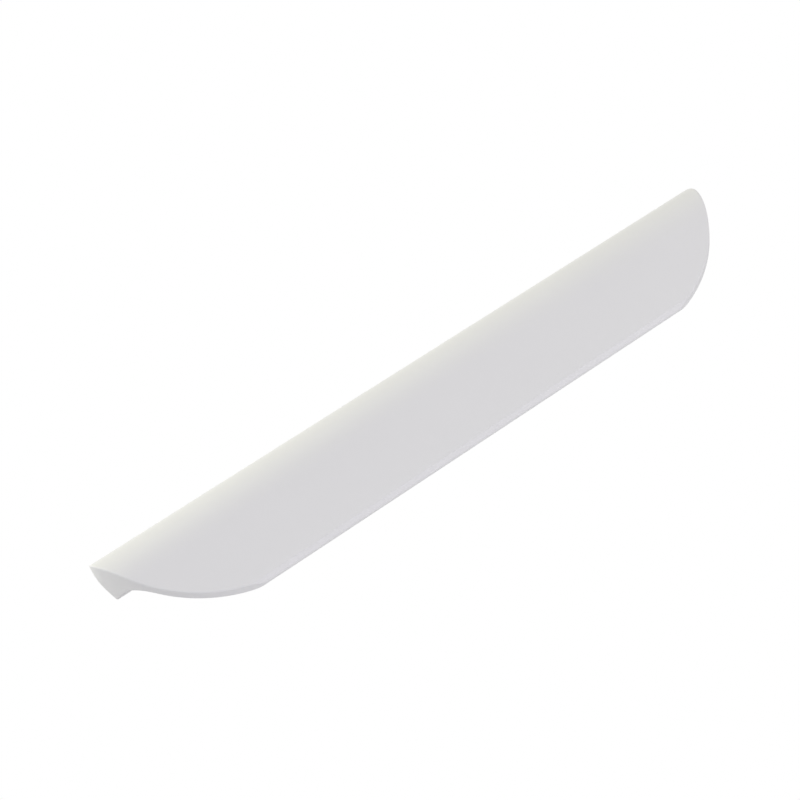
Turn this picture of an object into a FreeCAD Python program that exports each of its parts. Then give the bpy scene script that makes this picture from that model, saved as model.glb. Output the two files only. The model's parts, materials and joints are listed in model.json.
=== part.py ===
"""Long cup pull for a drawer or cabinet door: one casting with a curved end at each side.

Frame, in millimetres: X runs along the pull, +Y points into the drawer front, +Z is up.
The mounting face lies on Y = 0 and the origin is midway between the two screw holes.
The section is drawn with `out`, the distance out from the drawer front, and `down`, the
distance below the top edge.
"""
import FreeCAD, Part
import math
import os

LENGTH = 200.0              # end to end along the top edge
HOLE_SPACING = 160.0        # between the two fixing screws
HOLE_DROP = 5.5             # screw axis below the top edge
TAPPING_DIAMETER = 3.3      # core hole of an M4 thread
HOLE_DEPTH = 7.5            # straight part of the screw hole and its countersink
COUNTERSINK = 0.5           # 45 degree break at each hole's mouth

PLATE_ANGLE = 22.5          # degrees between the plate and the drawer front
PLATE_THICKNESS = 2.7       # straight wall of the finger plate
TOP_LAND = 0.5              # flat on the top edge next to the drawer front
CROWN_RADIUS = 14.4         # outer curve from the top edge to the plate
LIP_DROP = 25.75            # top edge down to the front corner of the lip
NOSE_TILT = 8.0             # degrees by which the lip's nose leans back from upright
LIP_CORNER_RADIUS = 0.6     # front corner of the lip
NOSE_HEIGHT = 1.9           # front corner of the lip down to its rounded underside

FOOT_HEIGHT = 11.1          # height of the mounting face
FOOT_DRAFT = 3.0            # degrees by which the foot's underside rises away from the drawer
FOOT_EDGE_RADIUS = 0.6      # lower back edge of the foot
THROAT_RADIUS = 7.0         # hollow corner between the foot and the plate

END_CUT_ANGLE = 54.5        # degrees between the end faces' rulings and the drawer front
END_DRAFT = 5.5             # degrees by which each end face leans out towards the drawer
END_LAND = 3.7              # straight land at each end, up to where the arc would meet it
END_CORNER_RADIUS = 12.0    # rounding between the land and the arc
END_SETBACK = 28.9          # from each end to the lip's corner
END_LIP_ANGLE = 17.2        # degrees between each end's arc and the lip where they meet
END_EDGE_RADIUS = 0.4       # soft edge round each end
END_ALLOWANCE = 5.0         # extra length at each end that is cut away with the end face

DRILL_TIP_ANGLE = 118.0     # point of the drill at the bottom of each hole
TOLERANCE = 0.001


def section_point(out, down):
    """A point of the section on the middle plane."""
    return FreeCAD.Vector(0, -out, HOLE_DROP - down)


def crown_corner_out():
    """How far out the plate's outer plane, drawn on upwards, meets the top edge."""
    half_turn = math.radians(90 - PLATE_ANGLE) / 2
    return TOP_LAND + CROWN_RADIUS * math.tan(half_turn)


def lip_corner():
    """Sharp front corner of the lip."""
    out = crown_corner_out() + LIP_DROP * math.tan(math.radians(PLATE_ANGLE))
    return section_point(out, LIP_DROP)


def section_corners():
    """Sharp corners of the section, each with its rounding radius."""
    slope = math.radians(PLATE_ANGLE)
    tilt = math.radians(NOSE_TILT)
    nose_length = PLATE_THICKNESS / math.sin(slope + tilt)
    nose_tip = lip_corner() + FreeCAD.Vector(0, math.sin(tilt), -math.cos(tilt)) * nose_length
    lift_per_radius = math.cos((slope - tilt) / 2) / math.sin((slope + tilt) / 2) - 1
    nose_radius = (nose_length * math.cos(tilt) - NOSE_HEIGHT) / lift_per_radius
    rise = math.tan(math.radians(FOOT_DRAFT))
    inner_out = crown_corner_out() - PLATE_THICKNESS / math.cos(slope)
    throat_out = (inner_out + FOOT_HEIGHT * math.tan(slope)) / (1 + rise * math.tan(slope))
    throat_down = FOOT_HEIGHT - throat_out * rise
    return [
        (section_point(0, 0), 0),
        (section_point(crown_corner_out(), 0), CROWN_RADIUS),
        (lip_corner(), LIP_CORNER_RADIUS),
        (nose_tip, nose_radius),
        (section_point(throat_out, throat_down), THROAT_RADIUS),
        (section_point(0, FOOT_HEIGHT), FOOT_EDGE_RADIUS),
    ]


def rounded_outline(corners):
    """Closed wire through the corners, with a tangent arc at each one that has a radius."""
    starts = []
    ends = []
    arcs = []
    count = len(corners)
    for index, (point, radius) in enumerate(corners):
        to_last = (corners[index - 1][0] - point).normalize()
        to_next = (corners[(index + 1) % count][0] - point).normalize()
        half_angle = to_last.getAngle(to_next) / 2
        reach = radius / math.tan(half_angle)
        starts.append(point + to_last * reach)
        ends.append(point + to_next * reach)
        bisector = (to_last + to_next).normalize()
        arcs.append(point + bisector * (radius / math.sin(half_angle) - radius))
    edges = []
    for index in range(count):
        if corners[index][1] > 0:
            arc = Part.Arc(starts[index], arcs[index], ends[index])
            edges.append(arc.toShape())
        following = (index + 1) % count
        edges.append(Part.LineSegment(ends[index], starts[following]).toShape())
    return Part.Wire(edges)


def extruded_bar():
    """The section with square ends, a little longer than the pull."""
    outline = rounded_outline(section_corners())
    rough_length = LENGTH + 2 * END_ALLOWANCE
    bar = Part.Face(outline).extrude(FreeCAD.Vector(rough_length, 0, 0))
    bar.translate(FreeCAD.Vector(-rough_length / 2, 0, 0))
    return bar


def end_curve(lip_height):
    """Two arcs, each as three points, from one end's land to the lip, and how they run out.

    x is measured along the pull and y across the rulings, from the top edge.
    """
    angle = math.radians(END_LIP_ANGLE)
    land_end = FreeCAD.Vector(LENGTH / 2, END_LAND, 0)
    lip = FreeCAD.Vector(LENGTH / 2 - END_SETBACK, lip_height, 0)
    chord = lip - land_end
    to_centre = FreeCAD.Vector(-math.sin(angle), -math.cos(angle), 0)
    radius = -chord.dot(chord) / (2 * chord.dot(to_centre))
    centre = lip + to_centre * radius
    aside = LENGTH / 2 - END_CORNER_RADIUS - centre.x
    ahead = math.sqrt((radius - END_CORNER_RADIUS) ** 2 - aside ** 2)
    to_corner = FreeCAD.Vector(aside, ahead, 0)
    corner_centre = centre + to_corner
    start = corner_centre + FreeCAD.Vector(END_CORNER_RADIUS, 0, 0)
    joint = centre + to_corner.normalize() * radius
    halfway = ((start + joint) / 2 - corner_centre).normalize()
    corner_arc = [start, corner_centre + halfway * END_CORNER_RADIUS, joint]
    halfway = ((joint + lip) / 2 - centre).normalize()
    long_arc = [joint, centre + halfway * radius, lip]
    run_out = FreeCAD.Vector(-1 / math.tan(angle), 1, 0)
    return corner_arc, long_arc, run_out


def end_envelope(side):
    """Solid with one end's outline, ruled along its end face, that reaches past the other end."""
    cut = math.radians(END_CUT_ANGLE)
    across = FreeCAD.Vector(0, -math.cos(cut), -math.sin(cut))
    lean = side * math.tan(math.radians(END_DRAFT))
    ruling = FreeCAD.Vector(lean, math.sin(cut), -math.cos(cut))
    top = section_point(0, 0)
    corners = [point - top for point, radius in section_corners()]
    lip_height = (lip_corner() - top).dot(across)
    lowest = max(corner.dot(across) for corner in corners)
    corner_arc, long_arc, run_out = end_curve(lip_height)

    below = long_arc[-1] + run_out * (lowest - lip_height)
    far_below = FreeCAD.Vector(-LENGTH, lowest, 0)
    far_above = FreeCAD.Vector(-LENGTH, -END_ALLOWANCE, 0)
    above = FreeCAD.Vector(LENGTH / 2, -END_ALLOWANCE, 0)

    def place(point):
        return top + FreeCAD.Vector(side * point.x, 0, 0) + across * point.y

    edges = []
    for arc in (corner_arc, long_arc):
        edges.append(Part.Arc(*[place(point) for point in arc]).toShape())
    turns = [long_arc[-1], below, far_below, far_above, above, corner_arc[0]]
    for start, finish in zip(turns, turns[1:]):
        edges.append(Part.LineSegment(place(start), place(finish)).toShape())
    reach = max(corner.Length for corner in corners)
    prism = Part.Face(Part.Wire(edges)).extrude(ruling * (2 * reach))
    prism.translate(ruling * -reach)
    return prism


def end_edges(body):
    """The edges round each end face, apart from those that lie against the drawer."""
    found = []
    for edge in body.Edges:
        halfway = (edge.FirstParameter + edge.LastParameter) / 2
        middle = edge.valueAt(halfway)
        lengthwise = abs(edge.tangentAt(halfway).x) > 1 - TOLERANCE
        against_drawer = abs(middle.y) < TOLERANCE
        if not lengthwise and not against_drawer:
            found.append(edge)
    return found


def screw_hole(side):
    """Blind tapped hole with a countersunk mouth, as a solid to cut away."""
    radius = TAPPING_DIAMETER / 2
    inward = FreeCAD.Vector(0, -1, 0)
    mouth = FreeCAD.Vector(side * HOLE_SPACING / 2, 0, 0)
    hole = Part.makeCylinder(radius, HOLE_DEPTH, mouth, inward)
    cone = Part.makeCone(radius + COUNTERSINK, radius, COUNTERSINK, mouth, inward)
    tip_start = mouth + inward * HOLE_DEPTH
    tip_length = radius / math.tan(math.radians(DRILL_TIP_ANGLE / 2))
    tip = Part.makeCone(radius, 0, tip_length, tip_start, inward)
    return hole.fuse([cone, tip])


def handle_body():
    body = extruded_bar()
    for side in (1, -1):
        body = body.common(end_envelope(side))
    body = body.makeFillet(END_EDGE_RADIUS, end_edges(body))
    for side in (1, -1):
        body = body.cut(screw_hole(side))
    return body.removeSplitter().Solids[0]


os.makedirs("parts", exist_ok=True)
pull = handle_body()
pull.exportStep("parts/handle_body.step")
print("volume mm3", round(pull.Volume, 1), "box", pull.BoundBox)
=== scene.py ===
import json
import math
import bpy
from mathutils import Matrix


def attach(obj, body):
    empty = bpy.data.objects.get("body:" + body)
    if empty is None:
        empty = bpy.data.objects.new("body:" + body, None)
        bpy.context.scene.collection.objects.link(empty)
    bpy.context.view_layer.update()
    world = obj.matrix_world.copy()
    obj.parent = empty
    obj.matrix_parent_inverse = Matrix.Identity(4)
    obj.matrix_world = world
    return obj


bl_info = {
    "name": "Long cup pull",
    "version": (1, 0, 0),
    "blender": (4, 5, 0),
    "location": "3D View > Sidebar > Cup pull",
    "description": "Powder coat, tapped holes and studio for a long cup pull",
    "category": "Object",
}

import bmesh
import bpy
from bpy.props import FloatProperty, FloatVectorProperty, IntProperty, PointerProperty
from mathutils import Matrix, Vector

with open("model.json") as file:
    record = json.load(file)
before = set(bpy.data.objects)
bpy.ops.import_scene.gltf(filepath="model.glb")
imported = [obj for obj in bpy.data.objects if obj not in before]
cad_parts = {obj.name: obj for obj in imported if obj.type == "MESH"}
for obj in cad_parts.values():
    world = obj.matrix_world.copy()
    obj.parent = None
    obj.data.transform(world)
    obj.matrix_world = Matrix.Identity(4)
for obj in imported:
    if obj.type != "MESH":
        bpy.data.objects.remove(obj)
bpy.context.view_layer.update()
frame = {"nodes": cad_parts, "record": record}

SCREW_HOLES = [m for m in frame["record"]["mounts"] if m["kind"] == "threaded_hole"]
HOLE_RADIUS = SCREW_HOLES[0]["dims"]["r_mm"] / 1000
HOLE_LENGTH = SCREW_HOLES[0]["dims"]["length_mm"] / 1000

# The mottle is a broad cloud with a share of the fine grain added, and lies in this range.
CLOUD_SCALE = 34.0
GRAIN_IN_MOTTLE = 0.35
MOTTLE_RANGE = (0.35, 1.0)
COAT_ROUGHNESS_SPREAD = 0.03

# The tap leaves finer marks than the coat's relief. Their sizes and depth are in metres.
METAL_WAVE_SIZE = 0.001 / 3
METAL_GRAIN_SIZE = 0.001 / 16
METAL_RELIEF_DEPTH = 0.000002
METAL_SHADE_VARIATION = 0.1
METAL_ROUGHNESS_SPREAD = 0.06

# The thread's ridge: half its width as a share of the pitch, its crest as a share of that
# width, and its root as a share of the hole's radius, which sinks it into the wall.
RIDGE_HALF_WIDTH = 0.42
CREST_SHARE = 0.2
ROOT_REACH = 1.01

# Each softbox: its side, where it stands, its width and height, and its tint.
SOFTBOXES = (
    ("back", (-0.1, 0.35, 0.75), (0.8, 0.5), (0.983, 1.0, 0.55)),
    ("left", (-0.6, 0.2, 0.6), (0.5, 0.5), (0.971, 1.0, 0.907)),
    ("right", (0.6, -0.7, 0.1), (0.6, 0.6), (0.983, 1.0, 0.55)),
    ("low", (0.1, -0.7, -0.3), (0.8, 0.1), (0.872, 0.875, 1.0)),
)
SOFTBOX_AIM = (0.0, -0.01, -0.005)

SENSOR_WIDTH = 36.0             # millimetres
NEAREST_SEEN = 0.01             # metres in front of the camera
WHITE = (1.0, 1.0, 1.0, 1.0)
FLOOR_HALF_WIDTH = 6.0
FLOOR_COLOUR = (0.6, 0.6, 0.6, 1.0)
FLOOR_ROUGHNESS = 0.9


class CoatSettings(bpy.types.PropertyGroup):
    colour: FloatVectorProperty(
        name="Coat colour",
        description="Colour of the white powder coat",
        subtype="COLOR",
        size=3,
        min=0.0,
        max=1.0,
        default=(0.79, 0.778, 0.798),
    )
    shade_variation: FloatProperty(
        name="Shade variation",
        description="How much the coat's shade wanders over the surface",
        default=0.012,
        min=0.0,
        max=0.2,
    )
    roughness: FloatProperty(
        name="Roughness",
        description="Roughness of the coat between matt and satin",
        default=0.66,
        min=0.0,
        max=1.0,
    )
    peel_size: FloatProperty(
        name="Orange peel size",
        description="Distance between the soft waves that the coat flows into",
        default=0.0016,
        subtype="DISTANCE",
        unit="LENGTH",
    )
    peel_depth: FloatProperty(
        name="Orange peel depth",
        description="Height of the soft waves in the coat",
        default=0.0000025,
        precision=7,
        subtype="DISTANCE",
        unit="LENGTH",
    )
    grain_size: FloatProperty(
        name="Grain size",
        description="Size of the fine powder grain",
        default=0.00022,
        precision=5,
        subtype="DISTANCE",
        unit="LENGTH",
    )
    grain_depth: FloatProperty(
        name="Grain depth",
        description="Height of the fine powder grain",
        default=0.0000012,
        precision=7,
        subtype="DISTANCE",
        unit="LENGTH",
    )


class ThreadSettings(bpy.types.PropertyGroup):
    pitch: FloatProperty(
        name="Pitch",
        description="Advance of the screw thread in one turn",
        default=0.0007,
        precision=5,
        subtype="DISTANCE",
        unit="LENGTH",
    )
    height: FloatProperty(
        name="Ridge height",
        description="How far the thread's ridge stands in from the hole's wall",
        default=0.00022,
        precision=5,
        subtype="DISTANCE",
        unit="LENGTH",
    )
    steps: IntProperty(
        name="Steps in a turn",
        description="Straight steps that one turn of the thread is made of",
        default=40,
        min=12,
    )
    colour: FloatVectorProperty(
        name="Bare metal colour",
        description="Colour of the bare casting that the tap leaves",
        subtype="COLOR",
        size=3,
        min=0.0,
        max=1.0,
        default=(0.52, 0.52, 0.53),
    )
    roughness: FloatProperty(
        name="Roughness",
        description="Roughness of the bare casting",
        default=0.34,
        min=0.0,
        max=1.0,
    )


class StageSettings(bpy.types.PropertyGroup):
    camera_place: FloatVectorProperty(
        name="Camera place",
        description="Where the camera stands",
        subtype="XYZ",
        unit="LENGTH",
        size=3,
        precision=5,
        default=(-0.123478, -0.388382, -0.008037),
    )
    camera_aim: FloatVectorProperty(
        name="Camera aim",
        description="Point that the camera looks at",
        subtype="XYZ",
        unit="LENGTH",
        size=3,
        precision=5,
        default=(-0.006608, 0.002093, -0.001302),
    )
    camera_roll: FloatProperty(
        name="Camera roll",
        description="Turn of the camera about its line of sight",
        subtype="ANGLE",
        default=math.radians(-32.789),
    )
    lens: FloatProperty(
        name="Lens",
        description="Focal length on a 36 mm wide sensor",
        subtype="DISTANCE_CAMERA",
        default=67.5,
    )
    floor_drop: FloatProperty(
        name="Floor drop",
        description="Distance of the floor below the screw holes",
        default=0.35,
        subtype="DISTANCE",
        unit="LENGTH",
    )
    room_light: FloatProperty(
        name="Room light",
        description="Strength of the even light from all round",
        default=0.6,
    )
    back_light: FloatProperty(
        name="Back light",
        description="Power of the warm softbox above and behind",
        default=1.08,
        subtype="POWER",
        unit="POWER",
    )
    left_light: FloatProperty(
        name="Left light",
        description="Power of the softbox above the left end",
        default=3.64,
        subtype="POWER",
        unit="POWER",
    )
    right_light: FloatProperty(
        name="Right light",
        description="Power of the warm softbox in front of the right end",
        default=0.56,
        subtype="POWER",
        unit="POWER",
    )
    low_light: FloatProperty(
        name="Low light",
        description="Power of the cool softbox low in front",
        default=1.97,
        subtype="POWER",
        unit="POWER",
    )


def join_nodes(tree, *pairs):
    """Links each output to its input."""
    for source, target in pairs:
        tree.links.new(source, target)


def noise(tree, detail, roughness):
    node = tree.nodes.new("ShaderNodeTexNoise")
    node.inputs["Detail"].default_value = detail
    node.inputs["Roughness"].default_value = roughness
    return node


def calculation(tree, operation):
    node = tree.nodes.new("ShaderNodeMath")
    node.operation = operation
    return node


def surface_grain_group():
    """Node group with a fine relief and a mottle that both finishes use."""
    name = "surface grain"
    if name in bpy.data.node_groups:
        return bpy.data.node_groups[name]
    group = bpy.data.node_groups.new(name, "ShaderNodeTree")
    for label in ("Wave scale", "Grain scale", "Wave depth", "Grain depth"):
        group.interface.new_socket(name=label, in_out="INPUT", socket_type="NodeSocketFloat")
    for label in ("Height", "Mottle"):
        group.interface.new_socket(name=label, in_out="OUTPUT", socket_type="NodeSocketFloat")
    enter = group.nodes.new("NodeGroupInput")
    leave = group.nodes.new("NodeGroupOutput")
    place = group.nodes.new("ShaderNodeTexCoord")
    waves = noise(group, detail=1.5, roughness=0.4)
    grain = noise(group, detail=2.0, roughness=0.55)
    cloud = noise(group, detail=3.0, roughness=0.5)
    cloud.inputs["Scale"].default_value = CLOUD_SCALE
    wave_height = calculation(group, "MULTIPLY")
    grain_height = calculation(group, "MULTIPLY_ADD")
    blend = calculation(group, "MULTIPLY_ADD")
    blend.inputs[1].default_value = GRAIN_IN_MOTTLE
    join_nodes(
        group,
        (place.outputs["Object"], waves.inputs["Vector"]),
        (place.outputs["Object"], grain.inputs["Vector"]),
        (place.outputs["Object"], cloud.inputs["Vector"]),
        (enter.outputs["Wave scale"], waves.inputs["Scale"]),
        (enter.outputs["Grain scale"], grain.inputs["Scale"]),
        (waves.outputs["Fac"], wave_height.inputs[0]),
        (enter.outputs["Wave depth"], wave_height.inputs[1]),
        (grain.outputs["Fac"], grain_height.inputs[0]),
        (enter.outputs["Grain depth"], grain_height.inputs[1]),
        (wave_height.outputs[0], grain_height.inputs[2]),
        (grain_height.outputs[0], leave.inputs["Height"]),
        (grain.outputs["Fac"], blend.inputs[0]),
        (cloud.outputs["Fac"], blend.inputs[2]),
        (blend.outputs[0], leave.inputs["Mottle"]),
    )
    return group


def varied(tree, mask, low, high):
    """The mottle, turned into a value between two limits."""
    node = tree.nodes.new("ShaderNodeMapRange")
    node.inputs["From Min"].default_value = MOTTLE_RANGE[0]
    node.inputs["From Max"].default_value = MOTTLE_RANGE[1]
    node.inputs["To Min"].default_value = low
    node.inputs["To Max"].default_value = high
    tree.links.new(mask, node.inputs["Value"])
    return node.outputs["Result"]


def shaded_colour(tree, mask, colour, variation):
    """A mix of a slightly darker and a slightly lighter shade of one colour."""
    node = tree.nodes.new("ShaderNodeMix")
    node.data_type = "RGBA"
    node.inputs["A"].default_value = [c * (1 - variation) for c in colour] + [1.0]
    node.inputs["B"].default_value = [c * (1 + variation) for c in colour] + [1.0]
    tree.links.new(mask, node.inputs["Factor"])
    return node.outputs["Result"]


def relief(tree, height, shader):
    """Gives the shader a relief whose height is in metres."""
    bump = tree.nodes.new("ShaderNodeBump")
    bump.inputs["Strength"].default_value = 1.0
    bump.inputs["Distance"].default_value = 1.0
    join_nodes(
        tree,
        (height, bump.inputs["Height"]),
        (bump.outputs["Normal"], shader.inputs["Normal"]),
    )


def new_finish(name):
    """New node material, its tree and its Principled shader."""
    material = bpy.data.materials.new(name)
    material.use_nodes = True
    return material, material.node_tree, material.node_tree.nodes["Principled BSDF"]


def grained_finish(name, settings, metallic, spread, variation, sizes, depths):
    """Material with the settings' colour and roughness, and the grain's relief and mottle.

    `sizes` and `depths` each hold the waves' value and then the grain's, in metres.
    """
    material, tree, shader = new_finish(name)
    shader.inputs["Metallic"].default_value = metallic
    grain = tree.nodes.new("ShaderNodeGroup")
    grain.node_tree = surface_grain_group()
    for label, size, depth in zip(("Wave", "Grain"), sizes, depths):
        grain.inputs[label + " scale"].default_value = 1 / size
        grain.inputs[label + " depth"].default_value = depth
    mottle = grain.outputs["Mottle"]
    colour = shaded_colour(tree, mottle, settings.colour, variation)
    gloss = varied(tree, mottle, settings.roughness - spread, settings.roughness + spread)
    join_nodes(
        tree,
        (colour, shader.inputs["Base Color"]),
        (gloss, shader.inputs["Roughness"]),
    )
    relief(tree, grain.outputs["Height"], shader)
    return material


def powder_coat(settings):
    return grained_finish(
        "white powder coat",
        settings,
        metallic=0.0,
        spread=COAT_ROUGHNESS_SPREAD,
        variation=settings.shade_variation,
        sizes=(settings.peel_size, settings.grain_size),
        depths=(settings.peel_depth, settings.grain_depth),
    )


def bare_casting(settings):
    return grained_finish(
        "tapped bare casting",
        settings,
        metallic=1.0,
        spread=METAL_ROUGHNESS_SPREAD,
        variation=METAL_SHADE_VARIATION,
        sizes=(METAL_WAVE_SIZE, METAL_GRAIN_SIZE),
        depths=(METAL_RELIEF_DEPTH, METAL_RELIEF_DEPTH),
    )


def placed(name, mesh):
    """Object in the scene that holds a finished bmesh."""
    data = bpy.data.meshes.new(name)
    mesh.to_mesh(data)
    mesh.free()
    piece = bpy.data.objects.new(name, data)
    bpy.context.scene.collection.objects.link(piece)
    return piece


def thread_ridge(name, mouth, outward, settings):
    """Helical ridge on the wall of one screw hole, which fades in and out over a turn."""
    turns = (HOLE_LENGTH - settings.pitch) / settings.pitch
    count = int(turns * settings.steps)
    half_width = settings.pitch * RIDGE_HALF_WIDTH
    half_crest = half_width * CREST_SHARE
    root = HOLE_RADIUS * ROOT_REACH
    across = outward.orthogonal().normalized()
    upright = outward.cross(across)
    mesh = bmesh.new()
    last = None
    for step in range(count + 1):
        turn = step / settings.steps
        angle = 2 * math.pi * turn
        fade = min(1.0, turn, (count - step) / settings.steps)
        crest = HOLE_RADIUS - settings.height * fade
        spoke = across * math.cos(angle) + upright * math.sin(angle)
        centre = mouth - outward * (settings.pitch * (0.5 + turn))
        profile = []
        for radius, shift in (
            (root, half_width),
            (crest, half_crest),
            (crest, -half_crest),
            (root, -half_width),
        ):
            profile.append(mesh.verts.new(centre + spoke * radius + outward * shift))
        if last:
            for i in range(len(profile)):
                j = (i + 1) % len(profile)
                mesh.faces.new((last[i], profile[i], profile[j], last[j]))
        else:
            mesh.faces.new(profile)
        last = profile
    mesh.faces.new(list(reversed(last)))
    bmesh.ops.recalc_face_normals(mesh, faces=mesh.faces)
    return placed(name, mesh)


class CUPPULL_OT_body(bpy.types.Operator):
    """Gives the pull's casting its white powder coat"""

    bl_idname = "cuppull.body"
    bl_label = "Coat the body"

    def execute(self, context):
        coat = powder_coat(context.scene.cup_pull_coat)
        body = frame["nodes"]["handle_body"]
        for slot in body.material_slots:
            slot.material = coat
        return {"FINISHED"}


class CUPPULL_OT_threads(bpy.types.Operator):
    """Lines both screw holes with the ridge of a screw thread"""

    bl_idname = "cuppull.threads"
    bl_label = "Tap the screw holes"

    def execute(self, context):
        settings = context.scene.cup_pull_thread
        metal = bare_casting(settings)
        for mount in SCREW_HOLES:
            side = mount["name"].split("_")[-1]
            mouth = Vector(mount["pos_m"])
            outward = Vector(mount["axis"])
            ridge = thread_ridge("thread_" + side, mouth, outward, settings)
            ridge.data.materials.append(metal)
            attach(ridge, "root")
        return {"FINISHED"}


def aimed(place, aim):
    """Turn that points a lamp or camera at a place."""
    return (Vector(aim) - Vector(place)).to_track_quat("-Z", "Y")


def add_camera(settings):
    camera = bpy.data.objects.new("photo_camera", bpy.data.cameras.new("photo_camera"))
    camera.data.sensor_width = SENSOR_WIDTH
    camera.data.lens = settings.lens
    camera.data.clip_start = NEAREST_SEEN
    turn = aimed(settings.camera_place, settings.camera_aim).to_matrix().to_4x4()
    roll = Matrix.Rotation(settings.camera_roll, 4, "Z")
    camera.matrix_world = Matrix.Translation(settings.camera_place) @ turn @ roll
    bpy.context.scene.collection.objects.link(camera)
    bpy.context.scene.camera = camera


def add_softbox(name, place, size, tint, power):
    lamp = bpy.data.lights.new(name, "AREA")
    lamp.shape = "RECTANGLE"
    lamp.size, lamp.size_y = size
    lamp.energy = power
    lamp.color = tint
    softbox = bpy.data.objects.new(name, lamp)
    softbox.location = place
    softbox.rotation_mode = "QUATERNION"
    softbox.rotation_quaternion = aimed(place, SOFTBOX_AIM)
    bpy.context.scene.collection.objects.link(softbox)


def seen_directly(tree):
    """Mask of the rays that show the background itself."""
    path = tree.nodes.new("ShaderNodeLightPath")
    camera_or_glossy = calculation(tree, "MAXIMUM")
    mask = calculation(tree, "MAXIMUM")
    join_nodes(
        tree,
        (path.outputs["Is Camera Ray"], camera_or_glossy.inputs[0]),
        (path.outputs["Is Glossy Ray"], camera_or_glossy.inputs[1]),
        (camera_or_glossy.outputs[0], mask.inputs[0]),
        (path.outputs["Is Transmission Ray"], mask.inputs[1]),
    )
    return mask.outputs[0]


def white_where_seen(tree, glow, shader, surface):
    """Gives the surface a white glow for rays that show the background, and else the shader."""
    white = tree.nodes.new(glow)
    white.inputs["Color"].default_value = WHITE
    white.inputs["Strength"].default_value = 1.0
    mix = tree.nodes.new("ShaderNodeMixShader")
    join_nodes(
        tree,
        (seen_directly(tree), mix.inputs[0]),
        (shader.outputs[0], mix.inputs[1]),
        (white.outputs[0], mix.inputs[2]),
        (mix.outputs[0], surface),
    )


def light_the_room(strength):
    world = bpy.data.worlds.new("white room")
    bpy.context.scene.world = world
    world.use_nodes = True
    tree = world.node_tree
    tree.nodes.clear()
    out = tree.nodes.new("ShaderNodeOutputWorld")
    room = tree.nodes.new("ShaderNodeBackground")
    room.inputs["Color"].default_value = WHITE
    room.inputs["Strength"].default_value = strength
    white_where_seen(tree, "ShaderNodeBackground", room, out.inputs["Surface"])


def pale_floor(drop):
    mesh = bmesh.new()
    bmesh.ops.create_grid(mesh, x_segments=1, y_segments=1, size=FLOOR_HALF_WIDTH)
    bmesh.ops.translate(mesh, verts=mesh.verts, vec=(0.0, 0.0, -drop))
    floor = placed("pale_floor", mesh)
    material, tree, shader = new_finish("pale floor")
    shader.inputs["Base Color"].default_value = FLOOR_COLOUR
    shader.inputs["Roughness"].default_value = FLOOR_ROUGHNESS
    out = tree.nodes["Material Output"]
    white_where_seen(tree, "ShaderNodeEmission", shader, out.inputs["Surface"])
    floor.data.materials.append(material)


class CUPPULL_OT_stage(bpy.types.Operator):
    """Sets up the camera, the softboxes, the white room and the pale floor"""

    bl_idname = "cuppull.stage"
    bl_label = "Set the stage"

    def execute(self, context):
        settings = context.scene.cup_pull_stage
        context.scene.view_settings.view_transform = "Standard"
        add_camera(settings)
        light_the_room(settings.room_light)
        pale_floor(settings.floor_drop)
        for side, place, size, tint in SOFTBOXES:
            power = getattr(settings, side + "_light")
            add_softbox(side + "_softbox", place, size, tint, power)
        return {"FINISHED"}


class CUPPULL_PT_panel(bpy.types.Panel):
    bl_idname = "CUPPULL_PT_panel"
    bl_label = "Cup pull"
    bl_space_type = "VIEW_3D"
    bl_region_type = "UI"
    bl_category = "Cup pull"

    def draw(self, context):
        scene = context.scene
        for group in (scene.cup_pull_coat, scene.cup_pull_thread, scene.cup_pull_stage):
            box = self.layout.box()
            for key in group.__annotations__:
                box.prop(group, key)
        for operator in OPERATORS:
            self.layout.operator(operator.bl_idname)


OPERATORS = (CUPPULL_OT_body, CUPPULL_OT_threads, CUPPULL_OT_stage)
CLASSES = (CoatSettings, ThreadSettings, StageSettings) + OPERATORS + (CUPPULL_PT_panel,)


def register():
    for item in CLASSES:
        bpy.utils.register_class(item)
    bpy.types.Scene.cup_pull_coat = PointerProperty(type=CoatSettings)
    bpy.types.Scene.cup_pull_thread = PointerProperty(type=ThreadSettings)
    bpy.types.Scene.cup_pull_stage = PointerProperty(type=StageSettings)


def unregister():
    del bpy.types.Scene.cup_pull_stage
    del bpy.types.Scene.cup_pull_thread
    del bpy.types.Scene.cup_pull_coat
    for item in reversed(CLASSES):
        bpy.utils.unregister_class(item)


def main():
    register()
    bpy.ops.cuppull.stage()
    bpy.ops.cuppull.body()
    bpy.ops.cuppull.threads()


if __name__ == "__main__":
    main()
